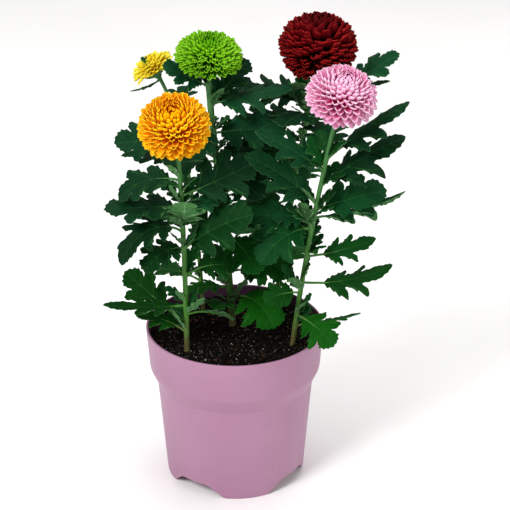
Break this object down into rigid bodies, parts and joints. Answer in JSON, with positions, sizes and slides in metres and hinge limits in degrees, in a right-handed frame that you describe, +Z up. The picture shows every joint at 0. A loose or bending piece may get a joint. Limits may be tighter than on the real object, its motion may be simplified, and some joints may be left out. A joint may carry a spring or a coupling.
{
  "type": "pot chrysanthemum",
  "caption": "Flowering pot plant: upright leafy stems, each ending in one dense ball of petals, growing from soil in a round plastic pot with a deep collar and a lobed skirt.",
  "frame": {"origin": "middle of the whole plant's box, on the surface the pot stands on; the pot's own axis is at X -15 mm, Y -15 mm", "axes": "+Z up along the pot's axis; -Y towards the front, the side that the orange and pink blooms face; +X to the right of someone facing the front"},
  "size_m": [0.2283, 0.1674, 0.3685],
  "materials": {
    "pot": "satin",
    "soil": "matte",
    "foliage": "satin",
    "petal_orange": "matte",
    "petal_green": "matte",
    "petal_red": "matte",
    "petal_pink": "matte",
    "petal_yellow": "matte"
  },
  "bodies": {
    "root": {"pot": "pot", "soil": "soil", "leafy_stem_orange": "foliage", "leafy_stem_green": "foliage", "leafy_stem_red": "foliage", "leafy_stem_pink": "foliage", "leafy_stem_yellow": "foliage", "bloom_orange": "petal_orange", "bloom_green": "petal_green", "bloom_red": "petal_red", "bloom_pink": "petal_pink", "bloom_yellow": "petal_yellow"}
  },
  "joints": []
}
